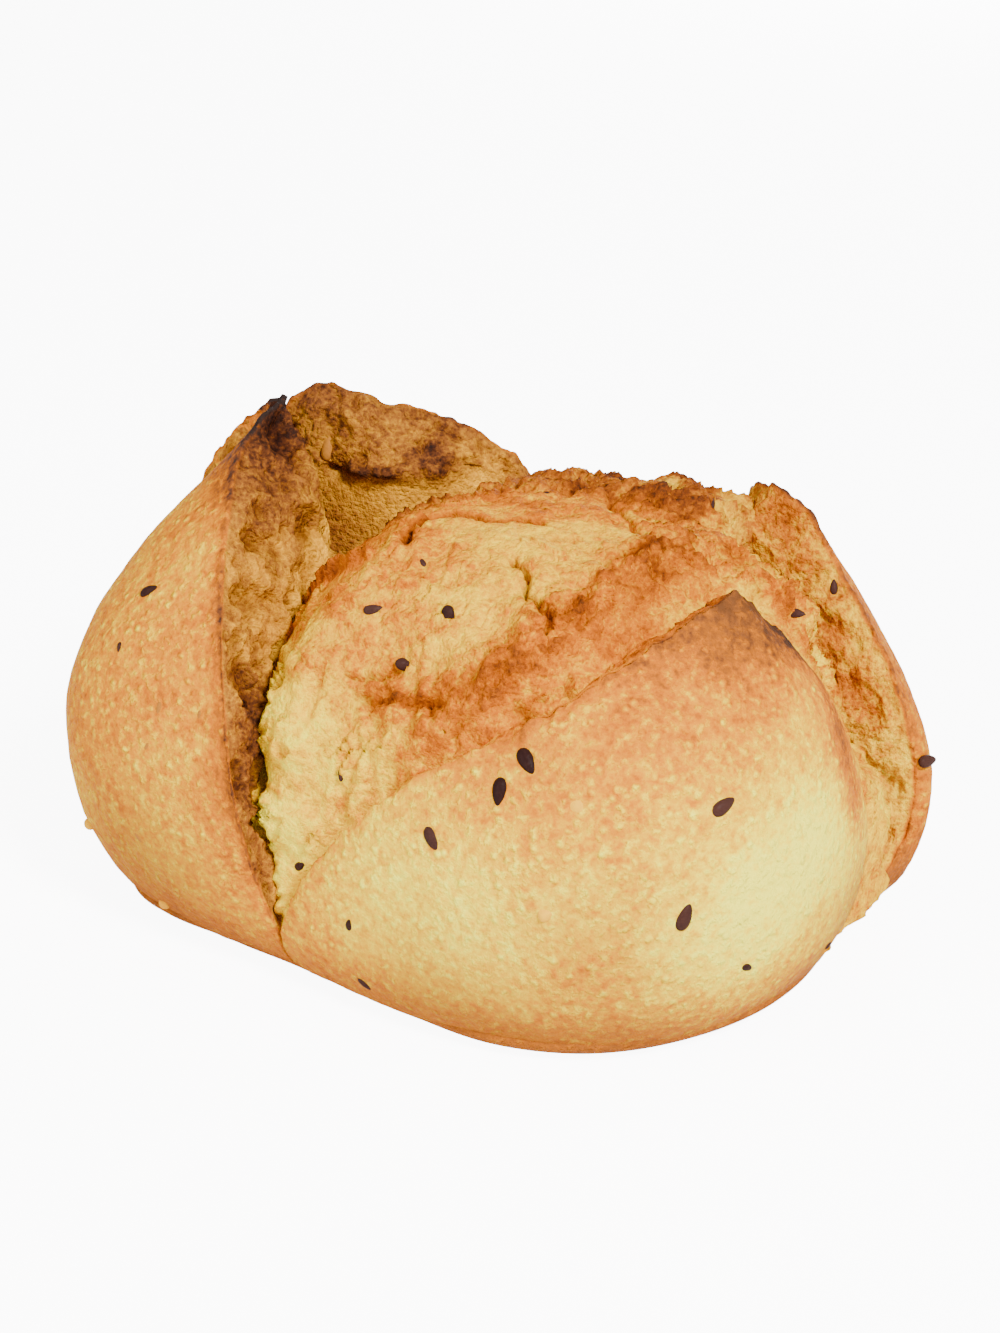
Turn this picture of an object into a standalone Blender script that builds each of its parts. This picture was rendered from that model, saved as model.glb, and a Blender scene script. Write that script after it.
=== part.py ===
# Multigrain bread: a small round loaf, cut crosswise before baking and burst open between the cuts.
# Four crust flaps stand around a domed crumb, and flax and millet seeds sit in the crust.
# Lengths are millimetres here and become metres when the meshes are made.
# +X is the wide way of the loaf, -Y the front, +Z up; the origin is under the middle of the flat base.
import math

import bmesh
import bpy
import numpy as np
from mathutils import Matrix, Vector
from mathutils.bvhtree import BVHTree

MM = 0.001
SEED_DRAW = 31

# crust outline seen from above: azimuth in degrees, greatest radius
OUTLINE = [(-173, 75.3), (-155, 60.0), (-142, 52.0), (-128, 49.5), (-108, 51.8), (-90, 58.0), (-70, 64.5),
           (-45, 67.5), (-24, 67.0), (-14, 66.5), (-9, 70.5), (-3, 76.0), (6, 76.0), (30, 69.0), (60, 63.0),
           (90, 61.5), (120, 64.0), (150, 73.0), (172, 78.0)]
# how far the base edge lies inside the outline, and the height of the greatest radius
BASE_INSET = [(-175, 18.8), (-160, 16), (-140, 10.5), (-120, 9), (-90, 10), (-60, 11.5), (-30, 11), (-5, 10),
              (30, 12), (90, 11), (150, 14)]
WIDEST_HEIGHT = [(-175, 31), (-160, 28), (-140, 20), (-120, 19), (-90, 21), (-60, 23), (-30, 23), (-5, 21),
                 (30, 23), (90, 21), (150, 26)]
# crumb dome: radius at its foot by azimuth, height, and the power of its rounded profile
DOME_FOOT = [(-175, 42), (-162, 45.0), (-146, 49.0), (-138, 46.5), (-125, 43.5), (-110, 46), (-95, 50), (-75, 55),
             (-55, 60), (-30, 65), (-12, 69), (5, 67), (30, 62), (57, 60), (80, 52), (110, 42), (140, 38),
             (160, 38)]
DOME_HEIGHT = 73.2
DOME_POWER = 2.7

# rims of the four flaps: x, y, z, width of the torn face behind the rim, drop across the torn face
LEFT_RIM = [(-37.5, -32.2, 11, 1.5, 1), (-41.0, -31.5, 21, 2, 2), (-44, -30.5, 36, 3, 5),
            (-45.5, -24, 51, 5, 9), (-46.5, -11, 63.5, 8, 12), (-46, 1, 73, 10, 14), (-44.5, 13, 80, 12, 16),
            (-37.2, 27.3, 85, 9, 15), (-47.6, 34, 76, 3, 6), (-56, 40.6, 60, 3, 4), (-60.5, 44.6, 40, 2, 2)]
BACK_RIM = [(-60.5, 43.8, 38, 2, 2), (-53, 40, 57, 3, 4), (-43, 36, 74, 3, 6), (-33, 37, 83.5, 14, 13),
            (-18, 35, 80, 10, 11), (-10.5, 34, 78, 6, 7), (-4, 34, 74.5, 4, 3), (3.5, 33.5, 70, 3, 3),
            (9, 37, 60, 3, 4), (18, 44, 46, 3, 4), (27, 50.5, 29, 2, 3), (32.8, 54, 7, 2.5, 2)]
RIGHT_RIM = [(31, 54.5, 9.5, 1.5, 0.8), (40, 47, 30, 3, 3), (44, 38, 48, 4, 5), (45, 27, 66, 5, 6),
             (48, 17, 71.5, 6, 7), (53, 13.5, 69, 8, 8), (58, 9, 61, 9, 8), (65.5, 0, 49, 9, 8),
             (70.5, -4, 37, 7, 6), (73, -4.5, 24, 5, 4), (71.5, -6.5, 14, 3, 2), (66, -12.8, 6, 2.5, 1.5)]
FRONT_RIM = [(67, -10.3, 9, 1.5, 1), (65.2, -14.2, 16, 2, 1), (62.0, -15.8, 25, 2, 1), (57.2, -16.2, 38, 3, 1),
             (50, -19.5, 56, 3, 1), (38, -25, 71, 3, 2), (27, -33.5, 67.5, 3, 2), (16, -41, 63, 3, 1.5),
             (0, -45, 54.5, 3, 1.5), (-16, -43, 44.5, 3, 1), (-26, -39, 34, 2.5, 1), (-33, -35.5, 23, 2, 1),
             (-37, -32.7, 11, 1.5, 1)]
# each flap: rim, index of its sharp corner, and how full the wall is (rise, top droop, top overhang)
FLAPS = [(LEFT_RIM, 7, (0.55, 0.25, 0.42)), (BACK_RIM, 3, (0.55, 0.22, 0.35)),
         (RIGHT_RIM, 4, (0.50, 0.22, 0.32)), (FRONT_RIM, 5, (0.50, 0.20, 0.55))]

# raised and sunken lines on the crumb: points, height, width
CRUMB_LINES = [
    ([(55.5, -9, 54), (50.5, -8, 61), (45, -8, 66), (40.5, -4, 71), (33, -6, 74)], 3.0, 4.5),
    ([(33, -6, 75), (24, -16, 72), (16, -28, 70.5), (9, -32, 68.5), (3, -37, 65), (-3, -40, 61),
      (-12, -42, 56), (-20, -40, 50)], 4.0, 6.0),
    ([(32, 16, 71), (41, 15, 70), (47, 20, 68)], 6.0, 9.0),
    ([(41, 19, 64), (45, 18, 61), (49, 17, 58)], 6.0, 4.5),
    ([(68, -6, 12), (66, -4, 28), (62, -1, 40), (56, 3, 50), (51, 5, 56), (45, 8, 62)], -11.0, 5.0),
    ([(56, -10, 53), (60, -12, 45), (62, -13, 38)], -9.0, 5.0),
    ([(-36, 8, 55), (-26, 16, 60), (-16, 22, 64), (-4, 25, 66)], -5.0, 7.0),
]

FLAP_ROWS = 30
LOW_ROWS, WALL_ROWS, TORN_ROWS, FOOT_ROWS = 3, 8, 4, 2
CORE_AROUND, CORE_UP = 60, 16
FLAP_FLOOR = 1.5


def around(keys, azimuth):
    """Value at an azimuth: a smooth closed curve through the keys."""
    a = np.array([k[0] for k in keys], float)
    v = np.array([k[1] for k in keys], float)
    a = np.concatenate([a - 360, a, a + 360])
    v = np.tile(v, 3)
    slope = np.gradient(v, a)
    azimuth = (np.asarray(azimuth, float) + 180) % 360 - 180
    i = np.clip(np.searchsorted(a, azimuth, side="right") - 1, 0, len(a) - 2)
    h = a[i + 1] - a[i]
    t = (azimuth - a[i]) / h
    return ((2 * t**3 - 3 * t**2 + 1) * v[i] + (t**3 - 2 * t**2 + t) * h * slope[i]
            + (-2 * t**3 + 3 * t**2) * v[i + 1] + (t**3 - t**2) * h * slope[i + 1])


def side_radius(azimuth, z):
    """Radius of the crust below its widest height: a quarter of an ellipse standing on the base edge."""
    inset, widest = around(BASE_INSET, azimuth), around(WIDEST_HEIGHT, azimuth)
    t = np.clip((widest - z) / widest, 0, 1)
    return around(OUTLINE, azimuth) - inset + inset * np.sqrt(1 - t**2)


def smooth_run(keys):
    """Smooth curve through rows of numbers, 24 samples between two rows."""
    slope = np.gradient(keys, axis=0)
    runs = []
    for i in range(len(keys) - 1):
        t = np.linspace(0, 1, 24, endpoint=False)[:, None]
        runs.append((2 * t**3 - 3 * t**2 + 1) * keys[i] + (t**3 - 2 * t**2 + t) * slope[i]
                    + (-2 * t**3 + 3 * t**2) * keys[i + 1] + (t**3 - t**2) * slope[i + 1])
    return np.concatenate(runs + [keys[-1:]])


def even_rows(run, count):
    """Rows spaced evenly by length along a run."""
    length = np.concatenate([[0], np.cumsum(np.linalg.norm(np.diff(run[:, :3], axis=0), axis=1))])
    at = np.linspace(0, length[-1], count)
    return np.stack([np.interp(at, length, run[:, j]) for j in range(run.shape[1])], 1), length[-1]


def rim_rows(keys, corner, count):
    """Rim of a flap as evenly spaced rows with a sharp bend at the corner."""
    keys = np.array(keys, float)
    first, second = smooth_run(keys[:corner + 1]), smooth_run(keys[corner:])
    share = even_rows(first, 2)[1] / (even_rows(first, 2)[1] + even_rows(second, 2)[1])
    n = max(3, round(count * share))
    return np.concatenate([even_rows(first, n)[0], even_rows(second, count - n + 1)[0][1:]])


def dome_radius(azimuth, z):
    """Radius of the crumb dome at a height."""
    t = np.clip(z / DOME_HEIGHT, 0, 1)
    return around(DOME_FOOT, azimuth) * (1 - t**DOME_POWER) ** (1 / DOME_POWER)


def flap_sections(rows, full):
    """Closed section loop of a flap at every rim row: wall, torn face, and a foot sunk in the crumb."""
    x, y, z, width, drop = rows.T
    azimuth = np.degrees(np.unwrap(np.arctan2(y, x)))
    turn = 1 if azimuth[-1] > azimuth[0] else -1
    azimuth = np.maximum.accumulate(azimuth * turn) * turn
    azimuth = 0.95 * azimuth + 0.05 * np.linspace(azimuth[0], azimuth[-1], len(azimuth))
    c, s = np.cos(np.radians(azimuth)), np.sin(np.radians(azimuth))
    radius = np.hypot(x, y)
    up = np.array([[0, 0, 1.0]])
    outward = np.stack([c, s, 0 * c], 1)
    inward = -np.stack([x / radius, y / radius, 0 * x], 1)
    rim = np.stack([x, y, z], 1)

    widest = np.minimum(around(WIDEST_HEIGHT, azimuth), 0.75 * z)
    heights = FLAP_FLOOR + (widest - FLAP_FLOOR)[:, None] * np.linspace(0, 1, LOW_ROWS, endpoint=False)
    low_radius = side_radius(azimuth[:, None], heights)
    low = np.stack([low_radius * c[:, None], low_radius * s[:, None], heights], 2)

    wide_radius = side_radius(azimuth, widest)
    wide = np.stack([wide_radius * c, wide_radius * s, widest], 1)
    rise = (z - widest)[:, None]
    over = np.clip(wide_radius - radius, 0, None)[:, None]
    lower_pull = wide + up * rise * full[0]
    upper_pull = rim - up * rise * full[1] + outward * over * full[2]
    t = np.linspace(0, 1, WALL_ROWS)[None, :, None]
    wall = ((1 - t)**3 * wide[:, None] + 3 * (1 - t)**2 * t * lower_pull[:, None]
            + 3 * (1 - t) * t**2 * upper_pull[:, None] + t**3 * rim[:, None])

    t = np.linspace(0, 1, TORN_ROWS)[None, 1:, None]
    torn = rim[:, None] + inward[:, None] * width[:, None, None] * t - up[None] * drop[:, None, None] * t**1.3

    end = torn[:, -1]
    end_radius = np.hypot(end[:, 0], end[:, 1])
    foot_z = np.maximum(0.45 * end[:, 2], FLAP_FLOOR + 0.8)
    foot_radius = np.minimum(end_radius - 3, dome_radius(azimuth, foot_z) - 8)
    foot = np.stack([-inward[:, 0] * foot_radius, -inward[:, 1] * foot_radius, foot_z], 1)
    t = np.linspace(0, 1, FOOT_ROWS + 1)[None, 1:, None]
    sunk = end[:, None] * (1 - t) + foot[:, None] * t
    inner_radius = 0.5 * around(DOME_FOOT, azimuth)
    inner = np.stack([inner_radius * c, inner_radius * s, 0 * c + FLAP_FLOOR], 1)
    return np.concatenate([low, wall, torn, sunk, inner[:, None]], 1)


def line_distance(points, line):
    """Distance from points to a run of straight lines."""
    best = np.full(len(points), 1e9)
    line = np.array(line, float)
    for a, b in zip(line[:-1], line[1:]):
        t = np.clip(((points - a) @ (b - a)) / ((b - a) @ (b - a)), 0, 1)
        best = np.minimum(best, np.linalg.norm(points - (a + t[:, None] * (b - a)), axis=1))
    return best


def core_rings():
    """Rings of the crumb core from the base centre over the base edge and up the dome to its top."""
    azimuth = np.linspace(-180, 180, CORE_AROUND, endpoint=False)
    c, s = np.cos(np.radians(azimuth)), np.sin(np.radians(azimuth))
    rings = []
    for z, more in ((0.0, 0.0), (1.2, 0.3), (2.8, 0.3), (4.0, -1.2)):
        r = side_radius(azimuth, z) + more
        rings.append(np.stack([r * c, r * s, 0 * r + z], 1))
    foot = around(DOME_FOOT, azimuth)
    for rise in np.radians(np.linspace(8, 90, CORE_UP)):
        r = ((math.cos(rise) / foot)**DOME_POWER + (math.sin(rise) / DOME_HEIGHT)**DOME_POWER)**(-1 / DOME_POWER)
        ray = np.stack([math.cos(rise) * c, math.cos(rise) * s, 0 * c + math.sin(rise)], 1)
        points = ray * r[:, None]
        lift = sum(height * np.exp(-(line_distance(points, line) / width)**2) for line, height, width in CRUMB_LINES)
        rings.append(ray * (r + lift)[:, None])
    rings[-1][:] = rings[-1].mean(axis=0)
    return rings


def new_object(name, vertices, faces, collection):
    """Closed mesh object from millimetre points, faces turned outward."""
    mesh = bpy.data.meshes.new(name)
    mesh.from_pydata([tuple(float(q) * MM for q in v) for v in vertices], [], faces)
    work = bmesh.new()
    work.from_mesh(mesh)
    bmesh.ops.remove_doubles(work, verts=work.verts, dist=0.00005)
    bmesh.ops.recalc_face_normals(work, faces=work.faces)
    if work.calc_volume(signed=True) < 0:
        bmesh.ops.reverse_faces(work, faces=work.faces)
    bmesh.ops.triangulate(work, faces=work.faces)
    work.to_mesh(mesh)
    work.free()
    item = bpy.data.objects.new(name, mesh)
    collection.objects.link(item)
    return item


def make_core(collection):
    """Core: rings joined into a closed body with one vertex at the base centre and one at the top."""
    rings = core_rings()
    n = CORE_AROUND
    vertices = [(0.0, 0.0, 0.0)] + [tuple(p) for ring in rings[:-1] for p in ring] + [tuple(rings[-1][0])]
    faces = [(0, 1 + (i + 1) % n, 1 + i) for i in range(n)]
    for k in range(len(rings) - 2):
        a, b = 1 + k * n, 1 + (k + 1) * n
        faces += [(a + i, a + (i + 1) % n, b + (i + 1) % n, b + i) for i in range(n)]
    last, top = 1 + (len(rings) - 2) * n, len(vertices) - 1
    faces += [(last + i, last + (i + 1) % n, top) for i in range(n)]
    return new_object("crumb core", vertices, faces, collection)


def make_flap(name, rim, corner, full, collection):
    """Flap: section loops joined along the rim, the two ends closed around their middle."""
    loops = flap_sections(rim_rows(rim, corner, FLAP_ROWS), full)
    rows, n = loops.shape[:2]
    vertices = [tuple(p) for p in loops.reshape(-1, 3)]
    faces = []
    for k in range(rows - 1):
        a, b = k * n, (k + 1) * n
        faces += [(a + i, a + (i + 1) % n, b + (i + 1) % n, b + i) for i in range(n)]
    for k in (0, rows - 1):
        middle = len(vertices)
        vertices.append(tuple(loops[k].mean(axis=0)))
        faces += [(k * n + i, k * n + (i + 1) % n, middle) for i in range(n)]
    return new_object(name, vertices, faces, collection)


def fill_hollows(mesh):
    """Solid inside: only the outer shell of the mesh is kept."""
    work = bmesh.new()
    work.from_mesh(mesh)
    shells, seen = [], set()
    for start in work.verts:
        if start in seen:
            continue
        shell, edge_of = [start], [start]
        seen.add(start)
        while edge_of:
            for link in edge_of.pop().link_edges:
                for v in link.verts:
                    if v not in seen:
                        seen.add(v)
                        shell.append(v)
                        edge_of.append(v)
        shells.append(shell)
    shells.sort(key=len)
    for shell in shells[:-1]:
        bmesh.ops.delete(work, geom=shell, context="VERTS")
    work.to_mesh(mesh)
    work.free()


def fuse(target, collection, name):
    """One union of a whole collection into the target, after which the fused objects are removed."""
    union = target.modifiers.new("fuse " + name, "BOOLEAN")
    union.operation = "UNION"
    union.operand_type = "COLLECTION"
    union.collection = collection
    union.solver = "MANIFOLD"
    bpy.context.view_layer.update()
    result = bpy.data.meshes.new_from_object(target.evaluated_get(bpy.context.evaluated_depsgraph_get()))
    target.modifiers.remove(union)
    fill_hollows(result)
    target.data = result
    for item in list(collection.objects):
        bpy.data.objects.remove(item)
    bpy.data.collections.remove(collection)


# seeds by where they lie: x, y, z near the surface, turn from the level tangent in degrees, size factor
DOME_SEEDS = [
    (-20, -19, 63, 0, 1.0), (-8, -26, 65, -70, 1.15), (-15, -28, 59, -20, 1.0), (-13, -13, 69, -60, 0.7),
    (8, 10, 72, 30, 0.5), (-12, -5, 71, 85, 0.8), (17, -18, 71, 80, 0.6), (-24, -30, 41, -30, 0.8),
    (37, 10, 71, 20, 0.7), (49, -11, 60, 5, 0.9),
]
GROOVE_SEEDS = [(-39, -26, 28, -75, 1.0), (-31, -28, 23, 40, 0.8), (-36, -27, 19, -5, 0.6), (-31, 31, 73, 85, 1.0),
                (-36, 16, 73, 40, 0.9)]
FRONT_SEEDS = [
    (4, -49, 53, -50, 1.25), (0, -50, 48, -85, 1.2), (-11, -50, 39, -50, 1.35), (35, -51, 46, 20, 1.2),
    (29, -58, 30, 65, 1.25), (40, -53, 17, -35, 1.0), (55, -35, 10, -15, 0.8), (-25, -43, 19, 80, 0.9),
    (-22, -42, 7, -40, 1.0), (12, -54, 48, 60, 1.0), (7, -59, 31, 25, 0.8),
]
LEFT_SEEDS = [
    (-59, -3, 60, 45, 1.0), (-64, -8, 52, -65, 0.5), (-57, -19, 46, -90, 0.9), (-50, -23, 47, -85, 0.7),
    (-59, -20, 40, 65, 0.7), (-61, -20, 22, -45, 0.8), (-58, -16, 7, 35, 0.7), (-73, -8, 17, 30, 0.7),
]
RIGHT_SEEDS = [(75, -4, 28, -10, 1.1), (58, 6, 57, 90, 0.7)]
SEED_HALF = (2.4, 1.15, 0.95)
SEED_SINK = 0.25
BACK_SEEDS = 20


def make_seeds(target, collection):
    """Small ellipsoids lying in the surface of the target, each turned in its own tangent plane."""
    tree = BVHTree.FromObject(target, bpy.context.evaluated_depsgraph_get())
    draw = np.random.default_rng(SEED_DRAW)
    places = DOME_SEEDS + GROOVE_SEEDS + FRONT_SEEDS + LEFT_SEEDS + RIGHT_SEEDS
    for _ in range(BACK_SEEDS):
        azimuth, rise = math.radians(draw.uniform(20, 165)), math.radians(draw.uniform(-5, 40))
        ray = Vector((math.cos(rise) * math.cos(azimuth), math.cos(rise) * math.sin(azimuth), math.sin(rise)))
        middle = Vector((0, 0, 0.02))
        spot = tree.ray_cast(middle + ray * 0.2, -ray)[0] / MM
        places.append((*spot, draw.uniform(-90, 90), draw.uniform(0.8, 1.15)))
    for i, (x, y, z, turn, size) in enumerate(places):
        spot, normal, _, _ = tree.find_nearest(Vector((x, y, z)) * MM)
        level = Vector((0, 0, 1)).cross(normal)
        level = level.normalized() if level.length > 1e-4 else Vector((1, 0, 0))
        t = math.radians(turn)
        along = level * math.cos(t) + normal.cross(level) * math.sin(t)
        axes = Matrix((along, normal.cross(along), normal)).transposed().to_4x4()
        axes.translation = spot - normal * SEED_SINK * SEED_HALF[2] * MM * size
        mesh = bpy.data.meshes.new(f"seed {i + 1}")
        work = bmesh.new()
        bmesh.ops.create_uvsphere(work, u_segments=6, v_segments=4, radius=1.0)
        work.transform(axes @ Matrix.Diagonal([h * MM * size for h in SEED_HALF] + [1.0]))
        bmesh.ops.triangulate(work, faces=work.faces)
        work.to_mesh(mesh)
        work.free()
        collection.objects.link(bpy.data.objects.new(mesh.name, mesh))


def main():
    for item in list(bpy.data.objects):
        bpy.data.objects.remove(item)
    home = bpy.data.collections.new("multigrain bread")
    cutters = bpy.data.collections.new("joined parts")
    bpy.context.scene.collection.children.link(home)
    bpy.context.scene.collection.children.link(cutters)
    cutters.hide_render = True

    loaf = make_core(home)
    loaf.name = loaf.data.name = "loaf"
    for i, (rim, corner, full) in enumerate(FLAPS):
        make_flap(f"flap {i + 1}", rim, corner, full, cutters)
    for item in cutters.objects:
        item.display_type = "WIRE"
    fuse(loaf, cutters, "flaps")
    grains = bpy.data.collections.new("grains")
    bpy.context.scene.collection.children.link(grains)
    grains.hide_render = True
    make_seeds(loaf, grains)
    fuse(loaf, grains, "seeds")
    print("triangles", sum(len(p.vertices) - 2 for p in loaf.data.polygons))

    crust = bpy.data.materials.new("crust")
    crust.use_nodes = True
    shader = crust.node_tree.nodes["Principled BSDF"]
    shader.inputs["Base Color"].default_value = (0.62, 0.33, 0.11, 1.0)
    shader.inputs["Roughness"].default_value = 0.75
    loaf.data.materials.clear()
    loaf.data.materials.append(crust)


main()
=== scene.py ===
# Multigrain bread: a small round loaf with four crust flaps standing around a burst, domed crumb.
# Shapes are worked out in millimetres and become metres when their meshes are made.
import math

import bpy
import numpy as np
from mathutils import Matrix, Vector
from mathutils.bvhtree import BVHTree


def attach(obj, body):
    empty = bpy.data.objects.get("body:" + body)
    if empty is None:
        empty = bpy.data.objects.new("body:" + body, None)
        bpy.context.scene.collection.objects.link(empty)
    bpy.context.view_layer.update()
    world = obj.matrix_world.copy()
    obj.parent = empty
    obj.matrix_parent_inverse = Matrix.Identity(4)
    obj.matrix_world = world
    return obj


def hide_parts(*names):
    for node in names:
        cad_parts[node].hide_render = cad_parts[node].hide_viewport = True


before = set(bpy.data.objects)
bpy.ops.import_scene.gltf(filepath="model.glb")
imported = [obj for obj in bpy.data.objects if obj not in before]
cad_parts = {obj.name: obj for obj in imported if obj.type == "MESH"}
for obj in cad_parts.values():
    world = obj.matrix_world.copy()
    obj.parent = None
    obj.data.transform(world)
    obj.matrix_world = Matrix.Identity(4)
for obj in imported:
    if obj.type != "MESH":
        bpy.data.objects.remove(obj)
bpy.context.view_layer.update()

MM = 0.001

# camera
camera_data = bpy.data.cameras.new("camera")
camera_data.lens = 69.27
camera_data.sensor_width = 36.0
camera_data.clip_start = 0.01
camera = bpy.data.objects.new("camera", camera_data)
camera.location = (0.0, -0.39733, 0.24626)
camera.rotation_euler = (math.radians(63.083), 0.0, 0.0)
bpy.context.scene.collection.objects.link(camera)
bpy.context.scene.camera = camera

# named sizes of the loaf
# crust outline seen from above: azimuth in degrees, greatest radius
OUTLINE = [(-173, 75.3), (-155, 60.0), (-142, 52.0), (-128, 49.5), (-108, 51.8), (-90, 58.0), (-70, 64.5),
           (-45, 67.5), (-24, 67.0), (-14, 66.5), (-9, 70.5), (-3, 76.0), (6, 76.0), (30, 69.0), (60, 63.0),
           (90, 61.5), (120, 64.0), (150, 73.0), (172, 78.0)]
# how far the base edge lies inside the outline, and the height of the greatest radius
BASE_INSET = [(-175, 18.8), (-160, 16), (-140, 10.5), (-120, 9), (-90, 10), (-60, 11.5), (-30, 11), (-5, 10),
              (30, 12), (90, 11), (150, 14)]
WIDEST_HEIGHT = [(-175, 31), (-160, 28), (-140, 20), (-120, 19), (-90, 21), (-60, 23), (-30, 23), (-5, 21),
                 (30, 23), (90, 21), (150, 26)]
# crumb dome: radius at its foot by azimuth, height, and the power of its rounded profile
DOME_FOOT = [
    (-175, 42), (-162, 45.0), (-146, 49.0), (-138, 46.5), (-125, 43.5), (-110, 46), (-95, 50),
    (-75, 55), (-55, 60), (-30, 65), (-12, 69), (5, 67), (30, 62), (57, 60), (80, 52), (110, 42),
    (140, 38), (160, 38)]
DOME_HEIGHT = 73.2
DOME_POWER = 2.7

# rims of the four flaps: x, y, z, width of the torn face behind the rim, drop across the torn face
LEFT_RIM = [(-37.5, -32.2, 11, 1.5, 1), (-41.0, -31.5, 21, 2, 2), (-44, -30.5, 36, 3, 5),
            (-45.5, -24, 51, 5, 9), (-46.5, -11, 63.5, 8, 12), (-46, 1, 73, 10, 14), (-44.5, 13, 80, 12, 16),
            (-37.2, 27.3, 85, 9, 15), (-47.6, 34, 76, 3, 6), (-56, 40.6, 60, 3, 4), (-60.5, 44.6, 40, 2, 2)]
BACK_RIM = [(-60.5, 43.8, 38, 2, 2), (-53, 40, 57, 3, 4), (-43, 36, 74, 3, 6), (-33, 37, 83.5, 14, 13),
            (-18, 35, 80, 10, 11), (-10.5, 34, 78, 6, 7), (-4, 34, 74.5, 4, 3), (3.5, 33.5, 70, 3, 3),
            (9, 37, 60, 3, 4), (18, 44, 46, 3, 4), (27, 50.5, 29, 2, 3), (32.8, 54, 7, 2.5, 2)]
RIGHT_RIM = [(31, 54.5, 9.5, 1.5, 0.8), (40, 47, 30, 3, 3), (44, 38, 48, 4, 5), (45, 27, 66, 5, 6),
             (48, 17, 71.5, 6, 7), (53, 13.5, 69, 8, 8), (58, 9, 61, 9, 8), (65.5, 0, 49, 9, 8),
             (70.5, -4, 37, 7, 6), (73, -4.5, 24, 5, 4), (71.5, -6.5, 14, 3, 2), (66, -12.8, 6, 2.5, 1.5)]
FRONT_RIM = [
    (67, -10.3, 9, 1.5, 1), (65.2, -14.2, 16, 2, 1), (62.0, -15.8, 25, 2, 1), (57.2, -16.2, 38, 3, 1),
    (50, -19.5, 56, 3, 1), (38, -25, 71, 3, 2), (27, -33.5, 67.5, 3, 2), (16, -41, 63, 3, 1.5),
    (0, -45, 54.5, 3, 1.5), (-16, -43, 44.5, 3, 1), (-26, -39, 34, 2.5, 1), (-33, -35.5, 23, 2, 1),
    (-37, -32.7, 11, 1.5, 1)]

# shelf behind the corner of the front flap, ridge along that flap, and the skin's edge on top of the dome
SHELF_LINE = [(55.5, -9, 54), (50.5, -8, 61), (45, -8, 66), (40.5, -4, 71), (33, -6, 74)]
RIDGE_LINE = [
    (33, 3, 71), (30, -8, 73), (24, -16, 72), (16, -25, 70), (10, -30, 68), (3, -35, 65), (-3, -39, 60),
    (-10, -36, 57), (-17, -32, 53)]
ARC_LINE = [(-15, -8, 70), (-15, -4, 71), (-12, -1, 71), (-8, 0, 72), (-2, -2, 72), (7, -4, 72)]

# raised and sunken lines on the crumb: points, height, width
CRUMB_LINES = [
    (SHELF_LINE, 3.0, 4.5),
    ([(33, -6, 75), (24, -16, 72), (16, -28, 70.5), (9, -32, 68.5), (3, -37, 65), (-3, -40, 61),
      (-12, -42, 56), (-20, -40, 50)], 4.0, 6.0),
    ([(32, 16, 71), (41, 15, 70), (47, 20, 68)], 6.0, 9.0),
    ([(41, 19, 64), (45, 18, 61), (49, 17, 58)], 6.0, 4.5),
    ([(68, -6, 12), (66, -4, 28), (62, -1, 40), (56, 3, 50), (51, 5, 56), (45, 8, 62)], -11.0, 5.0),
    ([(56, -10, 53), (60, -12, 45), (62, -13, 38)], -9.0, 5.0),
    ([(-36, 8, 55), (-26, 16, 60), (-16, 22, 64), (-4, 25, 66)], -5.0, 7.0),
]
FLAP_FLOOR = 0.6


# noise
def lattice(i, j, k, seed):
    """Number from 0 to 1 for each whole-number corner, from a hash of its three numbers."""
    h = (i * 374761393 + j * 668265263 + k * 2147483647 + seed * 1274126177) & 0xFFFFFFFF
    h = ((h ^ (h >> 13)) * 1274126177) & 0xFFFFFFFF
    return ((h ^ (h >> 16)) & 0xFFFFFF) / 0xFFFFFF


def smooth_noise(points, size, seed):
    """Noise from -1 to 1: corner numbers blended across cubes of the given size with a smooth step."""
    q = points / size
    cell = np.floor(q).astype(np.int64)
    f = q - cell
    f = f * f * f * (f * (f * 6 - 15) + 10)
    total = np.zeros(points.shape[:-1])
    for a in (0, 1):
        for b in (0, 1):
            for c in (0, 1):
                weight = (np.where(a, f[..., 0], 1 - f[..., 0]) * np.where(b, f[..., 1], 1 - f[..., 1])
                          * np.where(c, f[..., 2], 1 - f[..., 2]))
                total += weight * lattice(cell[..., 0] + a, cell[..., 1] + b, cell[..., 2] + c, seed)
    return total * 2 - 1


def layered_noise(points, size, layers, seed):
    """Sum of noises, each half the size and just over half the strength of the one before."""
    total, strength = 0.0, 1.0
    for n in range(layers):
        total = total + strength * smooth_noise(points, size / 2**n, seed + 17 * n)
        strength *= 0.55
    return total


def bubbles(points, size, share, seed):
    """Open bubbles: 0 at a bubble's edge and 1 in its middle, with a bubble in some of the cells."""
    q = points / size
    cell = np.floor(q).astype(np.int64)
    best = np.zeros(points.shape[:-1])
    for a in (-1, 0, 1):
        for b in (-1, 0, 1):
            for c in (-1, 0, 1):
                i, j, k = cell[..., 0] + a, cell[..., 1] + b, cell[..., 2] + c
                u, v, w = (lattice(i, j, k, seed + n) for n in range(3))
                away = (i + u - q[..., 0])**2 + (j + v - q[..., 1])**2 + (k + w - q[..., 2])**2
                chance = lattice(i, j, k, seed + 3)
                reach = np.where(chance < share, 0.22 + 0.42 * chance / share, 1e-6)
                best = np.maximum(best, 1 - away / reach**2)
    return best


def ledges(points, size, seed):
    """Overlapping flakes: saw-tooth height along the contours of soft noise, and a mask of their edges."""
    v = layered_noise(points, size, 2, seed) * 2.0 + 40
    part = v - np.floor(v)
    some = soft_step(smooth_noise(points, size * 0.8, seed + 5), -0.25, 0.3)
    return (soft_step(part, 0, 0.12) - part) * some, np.exp(-((part - 0.06) / 0.06)**2) * some


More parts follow.
